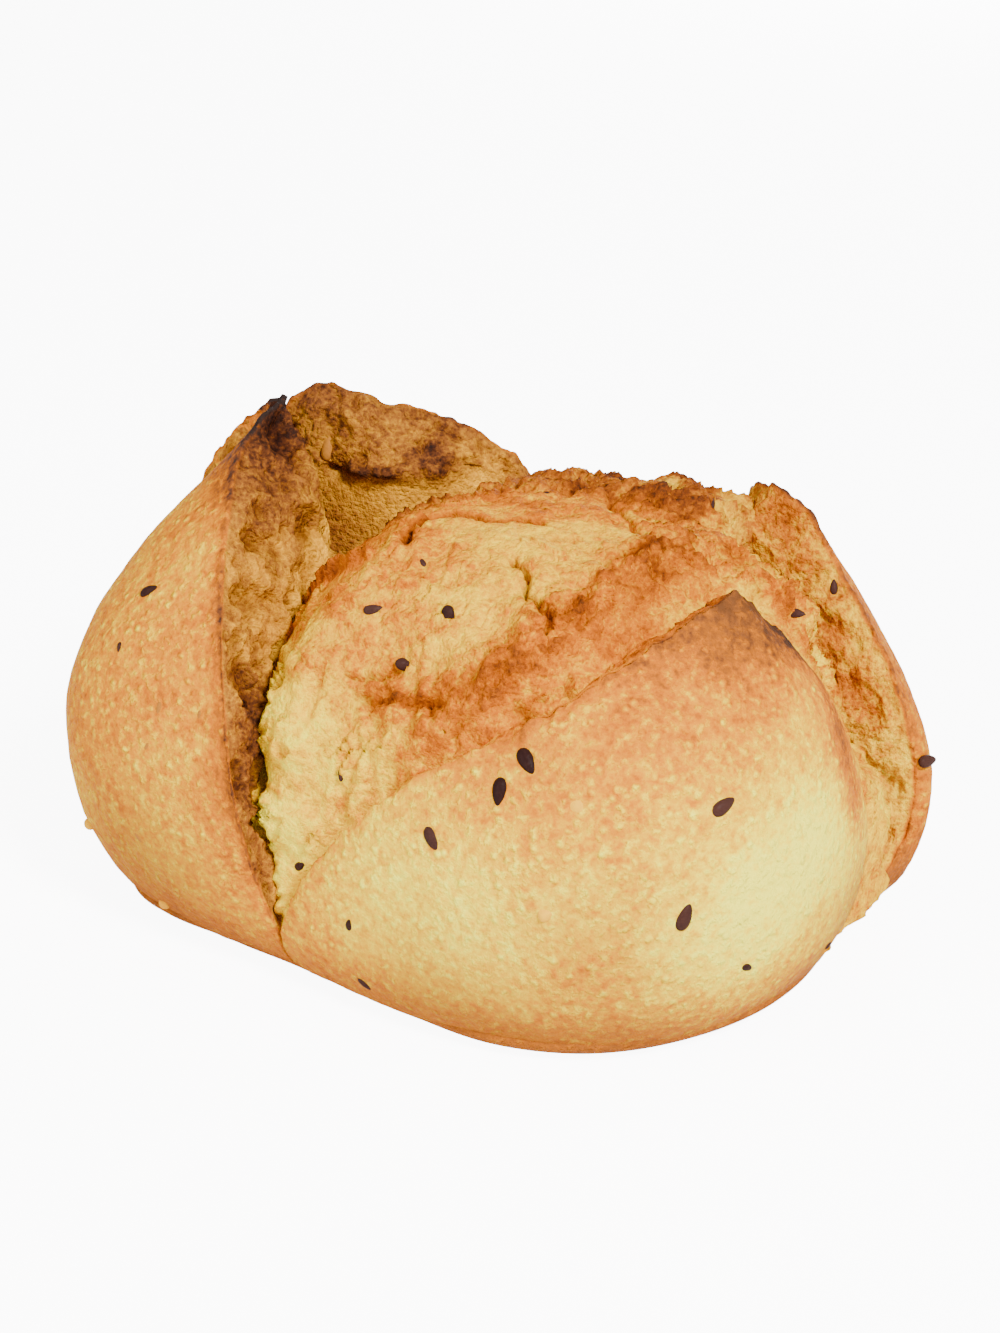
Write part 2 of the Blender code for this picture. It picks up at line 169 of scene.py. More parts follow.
# curves and outlines
def around(keys, azimuth):
    """Value at an azimuth: a smooth closed curve through the keys."""
    a = np.array([k[0] for k in keys], float)
    v = np.array([k[1] for k in keys], float)
    a = np.concatenate([a - 360, a, a + 360])
    v = np.tile(v, 3)
    slope = np.gradient(v, a)
    azimuth = (np.asarray(azimuth, float) + 180) % 360 - 180
    i = np.clip(np.searchsorted(a, azimuth, side="right") - 1, 0, len(a) - 2)
    h = a[i + 1] - a[i]
    t = (azimuth - a[i]) / h
    return ((2 * t**3 - 3 * t**2 + 1) * v[i] + (t**3 - 2 * t**2 + t) * h * slope[i]
            + (-2 * t**3 + 3 * t**2) * v[i + 1] + (t**3 - t**2) * h * slope[i + 1])


def side_radius(azimuth, z):
    """Radius of the crust below its widest height: a quarter of an ellipse standing on the base edge."""
    inset, widest = around(BASE_INSET, azimuth), around(WIDEST_HEIGHT, azimuth)
    t = np.clip((widest - z) / widest, 0, 1)
    return around(OUTLINE, azimuth) - inset + inset * np.sqrt(1 - t**2)


def dome_radius(azimuth, z):
    """Radius of the crumb dome at a height."""
    t = np.clip(z / DOME_HEIGHT, 0, 1)
    return around(DOME_FOOT, azimuth) * (1 - t**DOME_POWER) ** (1 / DOME_POWER)


def smooth_run(keys):
    """Smooth curve through rows of numbers, 24 samples between two rows."""
    slope = np.gradient(keys, axis=0)
    runs = []
    for i in range(len(keys) - 1):
        t = np.linspace(0, 1, 24, endpoint=False)[:, None]
        runs.append((2 * t**3 - 3 * t**2 + 1) * keys[i] + (t**3 - 2 * t**2 + t) * slope[i]
                    + (-2 * t**3 + 3 * t**2) * keys[i + 1] + (t**3 - t**2) * slope[i + 1])
    return np.concatenate(runs + [keys[-1:]])


def even_rows(run, count):
    """Rows spaced evenly by length along a run, with the run's length."""
    length = np.concatenate([[0], np.cumsum(np.linalg.norm(np.diff(run[:, :3], axis=0), axis=1))])
    at = np.linspace(0, length[-1], count)
    return np.stack([np.interp(at, length, run[:, j]) for j in range(run.shape[1])], 1), length[-1]


def rim_rows(keys, corner, count):
    """Rim of a flap as evenly spaced rows with a sharp bend at the corner."""
    keys = np.array(keys, float)
    first, second = smooth_run(keys[:corner + 1]), smooth_run(keys[corner:])
    share = even_rows(first, 2)[1] / (even_rows(first, 2)[1] + even_rows(second, 2)[1])
    n = max(3, round(count * share))
    return np.concatenate([even_rows(first, n)[0], even_rows(second, count - n + 1)[0][1:]])


def line_distance(points, line):
    """Distance from points to a run of straight lines."""
    best = np.full(points.shape[:-1], 1e9)
    line = np.array(line, float)
    for a, b in zip(line[:-1], line[1:]):
        t = np.clip(((points - a) @ (b - a)) / ((b - a) @ (b - a)), 0, 1)
        best = np.minimum(best, np.linalg.norm(points - (a + t[..., None] * (b - a)), axis=-1))
    return best


def crumb_distance(points, line):
    """Distance to a run of lines over the dome, whatever the surface's height: both are put on one ball."""
    ball = 74.0
    line = np.array(line, float)
    return line_distance(ball * points / np.linalg.norm(points, axis=-1, keepdims=True),
                         ball * line / np.linalg.norm(line, axis=-1, keepdims=True))


def spot_sum(points, spots):
    """Sum of soft round spots: x, y, z, radius, strength."""
    total = np.zeros(points.shape[:-1])
    for x, y, z, radius, strength in spots:
        total += strength * np.exp(-((points - (x, y, z))**2).sum(-1) / radius**2)
    return total


def soft_step(x, low, high):
    """0 below low, 1 above high, smooth between."""
    t = np.clip((x - low) / (high - low), 0, 1)
    return t * t * (3 - 2 * t)


def outward_normals(grid, closed_columns):
    """Unit normals of a grid from the cross product of its two directions, turned away from the middle."""
    if closed_columns:
        across = np.roll(grid, -1, 1) - np.roll(grid, 1, 1)
    else:
        across = np.gradient(grid, axis=1)
    along = np.gradient(grid, axis=0)
    n = np.cross(along, across)
    n /= np.linalg.norm(n, axis=-1, keepdims=True) + 1e-12
    return n


def blur_rows(grid, width):
    """Each point becomes the weighted mean of its neighbours along the rows, ends continued straight on."""
    reach = int(width * 3)
    if reach < 1:
        return grid
    weight = np.exp(-0.5 * (np.arange(-reach, reach + 1) / width)**2)
    weight /= weight.sum()
    before = 2 * grid[:1] - grid[1:reach + 1][::-1]
    after = 2 * grid[-1:] - grid[-reach - 1:-1][::-1]
    long = np.concatenate([before, grid, after])
    return sum(w * long[i:i + len(grid)] for i, w in enumerate(weight))


# meshes
def grid_faces(rows, columns, closed):
    """Four-sided faces between neighbouring rows and columns of a grid."""
    k = np.arange(rows - 1)[:, None]
    i = np.arange(columns if closed else columns - 1)[None, :]
    j = (i + 1) % columns
    a = k * columns
    return np.stack([a + i, a + j, a + columns + j, a + columns + i], -1).reshape(-1, 4)


def mesh_object(name, vertices, quads, triangles, values):
    """Mesh from arrays of points in millimetres and faces, with a number on each vertex for each value."""
    mesh = bpy.data.meshes.new(name)
    mesh.vertices.add(len(vertices))
    mesh.vertices.foreach_set("co", (vertices * MM).astype(np.float32).ravel())
    corners = np.concatenate([quads.ravel(), triangles.ravel()]).astype(np.int32)
    totals = np.concatenate([np.full(len(quads), 4), np.full(len(triangles), 3)]).astype(np.int32)
    starts = np.concatenate([[0], np.cumsum(totals)[:-1]]).astype(np.int32)
    mesh.loops.add(len(corners))
    mesh.loops.foreach_set("vertex_index", corners)
    mesh.polygons.add(len(totals))
    mesh.polygons.foreach_set("loop_start", starts)
    mesh.polygons.foreach_set("loop_total", totals)
    mesh.update(calc_edges=True)
    mesh.validate()
    mesh.polygons.foreach_set("use_smooth", np.ones(len(totals), bool))
    for key, numbers in values.items():
        layer = mesh.attributes.new(key, "FLOAT", "POINT")
        layer.data.foreach_set("value", np.asarray(numbers, np.float32).ravel())
    item = bpy.data.objects.new(name, mesh)
    bpy.context.scene.collection.objects.link(item)
    return item


def signed_volume(vertices, quads, triangles):
    """Volume enclosed by the faces, negative when they face inward."""
    faces = np.concatenate([quads[:, [0, 1, 2]], quads[:, [0, 2, 3]], triangles])
    a, b, c = vertices[faces[:, 0]], vertices[faces[:, 1]], vertices[faces[:, 2]]
    return (a * np.cross(b, c)).sum() / 6


def closed_object(name, vertices, quads, triangles, values):
    """Mesh object whose faces are turned outward by the sign of its volume."""
    if signed_volume(vertices, quads, triangles) < 0:
        quads, triangles = quads[:, ::-1], triangles[:, ::-1]
    return mesh_object(name, vertices, quads, triangles, values)


def end_fans(rows, columns):
    """Triangles from the first and last ring of a tube to its two end points, wound like its side faces."""
    i = np.arange(columns)
    j = (i + 1) % columns
    last, hub = (rows - 1) * columns, rows * columns
    first_fan = np.stack([j, i, np.full(columns, hub)], 1)
    last_fan = np.stack([last + i, last + j, np.full(columns, hub + 1)], 1)
    return np.concatenate([first_fan, last_fan])


# flaps
LOW_ROWS, WALL_ROWS, TORN_ROWS, FOOT_ROWS = 14, 104, 52, 16


def flap_sections(rows, full):
    """Closed section loop of a flap at every rim row: wall, torn face, and a foot sunk in the crumb."""
    x, y, z, width, drop = rows.T
    azimuth = np.degrees(np.unwrap(np.arctan2(y, x)))
    turn = 1 if azimuth[-1] > azimuth[0] else -1
    azimuth = np.maximum.accumulate(azimuth * turn) * turn
    azimuth = 0.95 * azimuth + 0.05 * np.linspace(azimuth[0], azimuth[-1], len(azimuth))
    c, s = np.cos(np.radians(azimuth)), np.sin(np.radians(azimuth))
    radius = np.hypot(x, y)
    up = np.array([[0, 0, 1.0]])
    outward = np.stack([c, s, 0 * c], 1)
    inward = -np.stack([x / radius, y / radius, 0 * x], 1)
    rim = np.stack([x, y, z], 1)

    widest = np.minimum(around(WIDEST_HEIGHT, azimuth), 0.75 * z)
    heights = FLAP_FLOOR + (widest - FLAP_FLOOR)[:, None] * np.linspace(0, 1, LOW_ROWS, endpoint=False)**1.5
    low_radius = side_radius(azimuth[:, None], heights)
    low = np.stack([low_radius * c[:, None], low_radius * s[:, None], heights], 2)

    wide_radius = side_radius(azimuth, widest)
    wide = np.stack([wide_radius * c, wide_radius * s, widest], 1)
    rise = (z - widest)[:, None]
    over = np.clip(wide_radius - radius, 0, None)[:, None]
    lower_pull = wide + up * rise * full[0]
    upper_pull = rim - up * rise * full[1] + outward * over * full[2]
    t = np.linspace(0, 1, WALL_ROWS)[None, :, None]
    wall = ((1 - t)**3 * wide[:, None] + 3 * (1 - t)**2 * t * lower_pull[:, None]
            + 3 * (1 - t) * t**2 * upper_pull[:, None] + t**3 * rim[:, None])

    t = np.linspace(0, 1, TORN_ROWS)[None, 1:, None]
    torn = (rim[:, None] + inward[:, None] * width[:, None, None] * t
            - up[None] * drop[:, None, None] * t**1.3)

    end = torn[:, -1]
    end_radius = np.hypot(end[:, 0], end[:, 1])
    foot_z = np.maximum(0.45 * end[:, 2], FLAP_FLOOR + 0.8)
    foot_radius = np.minimum(end_radius - 3, dome_radius(azimuth, foot_z) - 8)
    foot = np.stack([-inward[:, 0] * foot_radius, -inward[:, 1] * foot_radius, foot_z], 1)
    t = np.linspace(0, 1, FOOT_ROWS + 1)[None, 1:, None]**1.6
    sunk = end[:, None] * (1 - t) + foot[:, None] * t
    inner_radius = 0.5 * around(DOME_FOOT, azimuth)
    inner = np.stack([inner_radius * c, inner_radius * s, 0 * c + FLAP_FLOOR], 1)
    return np.concatenate([low, wall, torn, sunk, inner[:, None]], 1)


def soften_corner(loops, corner_blur, wall_blur):
    """Rows blurred lightly at the rim and more low on the wall, so that a bend in the rim fades downward."""
    fine, wide = blur_rows(loops, corner_blur), blur_rows(loops, wall_blur)
    columns = np.arange(loops.shape[1])
    share = np.clip(np.abs(columns - (LOW_ROWS + WALL_ROWS - 1)) / (0.55 * WALL_ROWS), 0, 1)[None, :, None]
    return fine * (1 - share) + wide * share


def section_length(loops):
    """Length along each section from the rim: negative on the wall, positive on the torn face."""
    step = np.linalg.norm(np.diff(loops, axis=1), axis=2)
    length = np.concatenate([np.zeros((len(loops), 1)), np.cumsum(step, 1)], 1)
    return length - length[:, LOW_ROWS + WALL_ROWS - 1][:, None]


def bend(points, size, amount, seed):
    """Points moved by smooth noise, so that what is drawn from them loses its straight and round shapes."""
    return points + amount * np.stack([smooth_noise(points, size, seed + n) for n in range(3)], -1)


def crag_relief(p):
    """Small sharp crags: folded noise at three sizes, pushed about by softer noise."""
    q = bend(bend(p, 5.0, 1.5, 321), 1.6, 0.4, 327)
    coarse = np.abs(smooth_noise(q, 5.0, 331))
    middle = np.abs(smooth_noise(q, 2.4, 333))
    fine = np.abs(smooth_noise(q, 1.3, 335))
    return 1.3 * (0.45 - coarse) + 1.1 * (0.4 - middle) + 0.6 * (0.4 - fine)


def torn_relief(p, dense, holes):
    """Crags, sharp walls and open bubbles of torn crumb, with how deep in a bubble each point lies.

    dense is the strength of a tight net of long bubbles, and holes that of the scattered ones.
    """
    q = bend(bend(p, 6.0, 1.6, 301), 1.8, 0.5, 311) * (1.0, 1.0, 0.72)
    crag = 1.0 * layered_noise(q, 7.0, 3, 41)
    wall = 0.8 * (0.5 - np.abs(smooth_noise(q, 3.4, 44)))
    wide = bubbles(q, 6.5, 0.5, 51)
    small = bubbles(q, 2.9, 0.6, 61)
    net = bubbles(q * (1, 1, 0.75), 4.2, 0.97, 58) * dense
    tiny = bubbles(q, 1.4, 0.6, 65)
    wide, small = wide * holes, small * (0.4 + 0.6 * holes)
    pore = np.maximum(np.maximum(wide, 0.8 * small), np.maximum(net, 0.4 * tiny))
    shape = crag + wall - 2.4 * np.sqrt(wide) - 1.0 * np.sqrt(small) - 2.2 * np.sqrt(net) - 0.35 * tiny
    return shape, pore


def skin_relief(p, blister):
    """Low swells of a baked skin with small blisters where it is toasted."""
    swell = 0.5 * smooth_noise(p, 21, 71) + 0.16 * smooth_noise(p, 6.5, 72) + 0.06 * smooth_noise(p, 1.9, 73)
    return swell + 0.16 * blister * bubbles(bend(p, 2.5, 0.5, 75), 2.2, 0.7, 77)


def make_flap(name, keys, corner, full, count, toast_and_shade_spots, skin_toast, edge_toast, inside, fresh_and_unshaded):
    """Flap: section loops joined along the rim, with relief along the normals and closed ends.

    inside holds the torn face's own numbers: its toast, the toast of the wall below it, the height and toast
    of the ridge between the two, how craggy the wall is, and the strength of netted and of open bubbles.
    The last argument is 1 where the torn face is as bright as the risen crumb.
    """
    loops = flap_sections(rim_rows(keys, corner, count), full)
    loops = soften_corner(loops, 2.0, 11.0)
    s = section_length(loops)
    rows, n = loops.shape[:2]
    rim_column = LOW_ROWS + WALL_ROWS - 1
    torn_length = s[:, rim_column + TORN_ROWS - 1][:, None]
    column = np.arange(n)
    torn = soft_step(s, -0.1, 0.9) * (column > LOW_ROWS + 5)
    below = soft_step(s - torn_length, 0.0, 2.5)
    ridge = np.exp(-((s - torn_length) / 1.5)**2) * soft_step(torn_length, 5, 11)
    deep = soft_step(column, n - 6, n - 2) * np.ones((rows, 1))
    normal = outward_normals(loops, True)
    if (normal[rows // 2, LOW_ROWS + 10] * loops[rows // 2, LOW_ROWS + 10]).sum() < 0:
        normal = -normal

    toast_in, toast_wall, ridge_height, ridge_toast, wall_crag, net, holes = inside
    toast = (skin_toast + edge_toast * np.exp(-(np.minimum(s, 0) / 3.5)**2)) * (1 - torn) \
        + torn * (toast_in * (1 - below) + toast_wall * below) + spot_sum(loops, toast_and_shade_spots)
    for line, radius, strength in RIM_TOAST:
        toast = toast + strength * np.exp(-(line_distance(loops, line) / radius)**2) * (1 - torn)
    # toast rises toward the foot: partly a browner bake, partly painted shade under the bulge
    toast = toast + 0.24 * np.exp(-(loops[..., 2] / 9.0)**2)
    jag = soft_step(smooth_noise(loops, 5, 91), -0.5, 0.4)
    toast = toast + ridge_toast * ridge * jag + 0.14 * np.exp(-((s + 0.2) / 0.8)**2) * (1 - 0.7 * fresh_and_unshaded)
    crumb_shape, pore = torn_relief(loops, net * soft_step(70 - loops[..., 2], 0, 14), holes)
    craggy = 1 - below * (1 - wall_crag)
    crumb_shape = (crumb_shape + 0.5 * crag_relief(loops)) * craggy + ridge_height * ridge * jag
    skin = skin_relief(loops, soft_step(toast, 0.45, 0.75))
    ends = np.minimum(np.arange(rows), np.arange(rows)[::-1])[:, None] / 14.0
    ease = soft_step(ends, 0, 1) * soft_step(loops[..., 2], 0.6, 3.5) * (1 - deep)
    rim = loops[:, [rim_column]]
    ragged = 0.7 * smooth_noise(rim, 1.5, 81) + 0.9 * smooth_noise(rim, 4.2, 82)
    shift = torn * crumb_shape * soft_step(s, 0, 3) + (1 - torn) * skin
    shape = loops + normal * (shift * ease)[..., None]
    shape[..., 2] += ragged * np.exp(-(s / 1.3)**2) * ease * 0.8
    vertices = np.concatenate([shape.reshape(-1, 3), shape[[0, -1]].mean(axis=1)])
    grow = lambda v: np.concatenate([np.broadcast_to(v, (rows, n)).ravel(), [v.mean(), v.mean()]])
    # shade: darker and duller toward the foot and in the skin's shade spots, painted shade under the bulge
    # as well as a browner bake
    shade = np.clip(np.exp(-(loops[..., 2] / 9.0)**2) + spot_sum(loops, SKIN_SHADE), 0, 1) * (1 - torn)
    # pore darkens the bubbles of the torn face: painted shade
    values = {"toast": grow(toast), "torn": grow(torn), "fresh_and_unshaded": grow(fresh_and_unshaded + 0 * s), "shade": grow(shade),
              "pore": grow(pore * torn * craggy), "rough": grow(craggy)}
    return closed_object(name, vertices, grid_faces(rows, n, True), end_fans(rows, n), values)


# toasted and pale places of each flap, with some painted shade: x, y, z, radius, strength
LEFT_TOAST = [
    (-38, 27, 84, 9, 0.48), (-43, 17, 79, 8, 0.40), (-44, 6, 73, 7, 0.18), (-45, -5, 66, 6, -0.02),
    (-60, -22, 16, 18, 0.02), (-50, -28, 22, 16, -0.08), (-66, -13, 45, 14, 0.04),
    (-38, 12, 70, 8, 0.14), (-42, -8, 55, 8, -0.12), (-42.5, -16, 48, 5, 0.26),
    (-42.5, -21, 44, 6, 0.28), (-42.5, -25, 37, 6, 0.30), (-41.5, -26, 30, 6, 0.30),
    (-40, -29, 23, 5, 0.28), (-50, -13, 60, 9, 0.12)]
BACK_TOAST_AND_SHADE = [
    (-33, 36, 83, 8, 0.20), (-18, 35, 80, 6, 0.12), (-8, 34, 77, 6, 0.16), (-12, 28, 73, 3.5, 0.30),
    # (-31, 28, 56) darkens the back flap's wall below its ridge: painted shade
    (2, 33, 71, 7, 0.06), (-2, 30, 68, 5, -0.22), (-31, 28, 56, 8, 0.30)]
# (55, 4, 49), (60, 0, 42) and (62, -1.5, 38) darken the pocket behind the front flap's corner: its own amber
# colour, deepened as painted shade
RIGHT_TOAST_AND_SHADE = [(47, 16, 71, 7, 0.24), (52, 11, 66, 7, 0.26), (60, 5, 56, 6, 0.16), (66, 1, 50, 8, 0.06),
               (72, -2, 34, 9, 0.04), (45, 25, 66, 9, 0.18), (55, 4, 49, 5, 0.28), (60, 0, 42, 6, 0.28),
               (62, -1.5, 38, 5, 0.24), (51, 11, 57, 5, 0.24), (72, -8, 16, 10, 0.10)]
FRONT_TOAST = [
    (38, -26, 71, 11, 0.28), (34, -35, 66, 18, 0.23), (47, -22, 60, 8, 0.12), (56, -28, 43, 8, 0.18),
    (15, -50, 54, 15, 0.12), (-2, -50, 47, 9, 0.12), (52, -42, 33, 14, -0.30), (38, -55, 27, 15, -0.26),
    (-16, -49, 24, 14, -0.14), (-2, -54, 34, 13, -0.12), (-20, -45, 33, 9, -0.04),
    (-20, -45, 12, 9, 0.06)]
# browner bands along the rims: points, radius, strength
RIM_TOAST = [
    ([(40, -24, 68), (50, -19.5, 56), (57, -16, 38), (62, -16, 25)], 4.0, 0.14),
    ([(46, -21, 62), (52.6, -23, 53), (55.5, -27, 47), (57.5, -28.5, 41), (59, -29.5, 34)], 4.5, 0.20),
    ([(27, -33.5, 67.5), (16, -41, 63), (0, -45, 54.5)], 2.5, 0.08),
    ([(-46.5, -11, 63.5), (-45.5, -24, 51), (-44, -30.5, 36)], 2.2, 0.10)]
# duller, browner places of the skin: mostly low on the loaf, partly painted shade under the bulge and partly
# a browner bake, and the browned tip of the front flap
SKIN_SHADE = [
    (-64, -20, 15, 17, 0.95), (15, -59, 28, 13, 0.36), (-8, -52, 10, 15, 0.60), (60, -30, 10, 14, 0.75),
    (5, -47, 52, 7, 0.20), (20, -56, 8, 14, 0.40), (38, -26, 70, 10, 0.7), (66, -22, 14, 12, 0.4)]

LEFT = make_flap("left_flap", LEFT_RIM, 7, (0.55, 0.25, 0.42), 260, LEFT_TOAST, 0.44, 0.06,
                 (0.32, 0.10, 0.0, 0.0, 1.0, 1.0, 1.0), 0)
BACK = make_flap("back_flap", BACK_RIM, 3, (0.55, 0.22, 0.35), 240, BACK_TOAST_AND_SHADE, 0.48, 0.10,
                 (0.42, 0.22, 2.6, 0.34, 0.15, 0.0, 0.6), 0)
RIGHT = make_flap("right_flap", RIGHT_RIM, 4, (0.50, 0.22, 0.32), 230, RIGHT_TOAST_AND_SHADE, 0.50, 0.07,
                  (0.18, 0.12, 0.0, 0.0, 0.9, 0.0, 0.12), 0.70)
FRONT = make_flap("front_flap", FRONT_RIM, 5, (0.50, 0.20, 0.55), 330, FRONT_TOAST, 0.35, 0.05,
                  (0.44, 0.44, 0.0, 0.0, 0.3, 0.0, 0.5), 1)


# crumb core
CORE_AROUND, CORE_UP = 540, 176

# sunken cracks and skin edges on the crumb: points, depth, width. The colour is darkened in the sunken
# cracks: painted shade
CRACKS = [
    ([(3, -17, 72), (5, -21, 71), (4, -25, 70), (7, -29, 69), (7, -34, 67)], 2.2, 0.55),
    ([(19, 8, 72), (22, 0, 72), (23, -7, 72), (26, -15, 71)], 2.0, 0.7),
    (ARC_LINE, 2.2, 0.75),
    ([(-24, -24, 54), (-19, -27, 56), (-14, -28, 58)], 1.4, 0.6),
    ([(-40, -19, 41), (-36, -16, 44), (-33, -17, 48)], 1.5, 0.7),
    ([(-22, -28, 52), (-16, -33, 54), (-10, -36, 56)], 1.4, 0.6),
    ([(24, -14, 73), (20, -17, 72), (17, -19, 72)], 2.4, 1.0),
    ([(12, 11, 72), (17, 14, 72)], 1.6, 0.9),
    ([(45, 12, 61), (47, 11, 58), (50, 9, 54)], 3.6, 1.7),
    ([(9, -11, 73), (13, -9, 73)], 1.4, 0.7),
    ([(-3, 11, 72), (4, 12, 72)], 1.2, 0.7),
    ([(3, -41, 57), (4, -42, 56)], 1.8, 1.1),
    ([(11, -38, 60), (11, -39, 59)], 1.6, 0.9),
    ([(7, -40, 59), (6, -40, 59)], 1.3, 0.8),
    ([(-6, -40, 54), (-7, -41, 53)], 1.2, 0.9),
    ([(-36, 3, 57), (-29, -1, 62), (-21, -8, 68)], -2.6, 0.9),
    ([(-35, 3, 57), (-34, -3, 56)], -1.6, 0.9),
    ([(-42, -31, 12), (-41, -29, 26), (-42, -24, 37), (-43, -16, 47), (-42, -7, 55)], 2.8, 1.6),
]
# toast on the crumb along lines: points, radius, strength
CRUMB_TOAST_LINES = [
    (RIDGE_LINE, 5.5, 0.25),
    ([(32, -16, 71), (18, -33, 67), (7, -40, 60), (-3, -42, 54), (-11, -40, 50)], 7.0, 0.16),
    ([(-21, -28, 52), (-10, -36, 56)], 1.2, 0.25),
    ([(-36, 3, 56), (-27, -3, 62)], 1.5, 0.24), ([(-36, 3, 56), (-21, -8, 67)], 1.5, 0.20),
    (ARC_LINE, 1.3, 0.30),
]
# toasted and pale places of the crumb, with painted shade in the hollow behind the front flap's corner: x,
# y, z, radius, strength
CRUMB_TOAST_AND_SHADE_SPOTS = [
    (-18, 13, 69, 14, 0.28), (-26, -6, 64, 12, 0.16), (10, 16, 72, 16, 0.22), (13, 12, 71, 4, 0.20),
    (19, 12, 71, 5, 0.20), (-2, 6, 72, 6, 0.06), (36, 13, 71, 9, -0.06), (0, -35, 65, 3, 0.10),
    (-34, -22, 42, 14, -0.12), (-38, -28, 26, 12, -0.18), (0, -20, 70, 12, -0.06),
    # (60, -12, 45) darkens the hollow behind the front flap's corner: its own amber colour, deepened as
    # painted shade
    (45, -8, 66, 3, 0.30), (47, -12, 62, 3, 0.34), (40, -4, 70, 3, 0.18), (60, -12, 45, 7, 0.30),
    (64, -14, 28, 9, -0.12), (33, -4, 71, 5, -0.06), (50, -6, 62, 9, 0.06), (22, -14, 74, 4, 0.04)]


def core_rings():
    """Rings of the crumb core from above the base over its edge and up the dome, with cracks and relief.

    The dome is a superellipse turned about the middle: its radius along a ray that rises at an angle a is
    ((cos a / foot)^p + (sin a / height)^p)^(-1/p). Lines and noise then move points along their rays.
    """
    azimuth = np.linspace(-180, 180, CORE_AROUND, endpoint=False)
    c, s = np.cos(np.radians(azimuth)), np.sin(np.radians(azimuth))
    rings = []
    for z, inset in ((1.0, 6.0), (1.0, 2.5), (2.0, 1.6), (3.2, 1.6), (4.2, 2.6)):
        r = side_radius(azimuth, z) - inset
        rings.append(np.stack([r * c, r * s, 0 * r + z], 1)[None])
    rise = np.radians(8 + 82 * np.linspace(0, 1, CORE_UP)**0.85)[:, None]
    foot = around(DOME_FOOT, azimuth)[None]
    r = ((np.cos(rise) / foot)**DOME_POWER + (np.sin(rise) / DOME_HEIGHT)**DOME_POWER)**(-1 / DOME_POWER)
    ray = np.stack([np.cos(rise) * c, np.cos(rise) * s, np.sin(rise) + 0 * c], 2)
    smooth = ray * r[..., None]
    lift = sum(height * np.exp(-(line_distance(smooth, line) / width)**2)
               for line, height, width in CRUMB_LINES)
    dome = smooth + ray * lift[..., None]
    bent = bend(bend(dome, 3.0, 0.9, 201), 1.1, 0.45, 207)
    crack = sum(depth * np.exp(-(crumb_distance(bent, line) / width)**2) for line, depth, width in CRACKS)

    toast = 0.30 + spot_sum(dome, CRUMB_TOAST_AND_SHADE_SPOTS)
    for line, radius, strength in CRUMB_TOAST_LINES:
        toast = toast + strength * np.exp(-(crumb_distance(bent, line) / radius)**2)
    patches = soft_step(layered_noise(dome * (0.6, 1, 1), 8.0, 3, 221), 0.0, 0.5)
    back = soft_step(dome[..., 1] + 4 * smooth_noise(dome, 8, 223), 3, 13)
    crags = crag_relief(dome)
    toast = toast + (0.26 * patches + 0.08) * back + 0.14 * patches
    crumb_shape, pore = torn_relief(dome, 0.0, 0.4)
    flake, flake_edge = ledges(bend(dome, 4.0, 1.5, 241), 9.0, 231)
    ridge = np.exp(-(crumb_distance(bent, RIDGE_LINE) / 5.5)**2)
    shelf = np.exp(-(crumb_distance(bent, SHELF_LINE) / 7.0)**2)
    right = soft_step(dome[..., 0] + 2 * smooth_noise(dome, 6, 225), 30, 40)
    right = right * soft_step(dome[..., 1], -16, -8)
    cream = soft_step(-dome[..., 0] - 0.4 * dome[..., 1], 18, 34) * soft_step(62 - dome[..., 2], 0, 14)
    rough = np.clip(0.9 * ridge + 0.8 * shelf + back + 0.8 * right + 0.3 * patches, 0, 1)
    toast = toast + 0.20 * rough * soft_step(crags, 0.2, 1.0) - 0.10 * rough
    fold = np.array([0.30, 0.22, 0.93])
    combed = dome - 0.72 * (dome @ fold)[..., None] * fold
    wrinkle = 0.5 - np.abs(smooth_noise(bend(combed, 5.0, 1.2, 251), 4.2, 255))
    skin = (0.6 * smooth_noise(dome, 14, 211) + 0.35 * smooth_noise(dome, 5, 212)
            + 0.16 * smooth_noise(dome, 1.8, 213))
    skin = skin + (1.1 + 0.7 * cream) * flake + 1.7 * cream * wrinkle
    toast = toast + 0.16 * flake_edge * (1 - 0.5 * rough) - 0.10 * cream * soft_step(wrinkle, 0.1, 0.5)
    relief = (skin * (1 - 0.6 * rough) + (0.7 * crumb_shape + 1.7 * crags) * rough
              + 0.35 * crags * (1 - rough))
    relief = relief + ridge * smooth_noise(dome, 4, 261) - crack
    # painted shade: beside the left flap's wall, at the back and along the front flap's ridge the crumb gets
    # the darker torn colours
    left = soft_step(-dome[..., 0] + 0.25 * dome[..., 1], 33, 42) * soft_step(dome[..., 1], -30, -10)
    wall_shade = np.clip(left + 0.5 * back + 0.2 * ridge * soft_step(dome[..., 0], 14, 28), 0, 1)
    top = soft_step(90 - np.degrees(rise), 0.0, 4.0)
    dome = dome + ray * (relief * top)[..., None]
    dome[-1] = dome[-1].mean(axis=0)
    base_rows = len(rings)
    pad = lambda v: np.concatenate([np.broadcast_to(v[:1], (base_rows, CORE_AROUND)), v])
    # painted shade: the colour is darkened in the sunken cracks, by their depth
    deep = np.clip(crack / 2.0, 0, 1)
    values = [pad(v) for v in (toast, pore * rough, deep, rough, wall_shade)]
    return np.concatenate(rings + [dome]), values


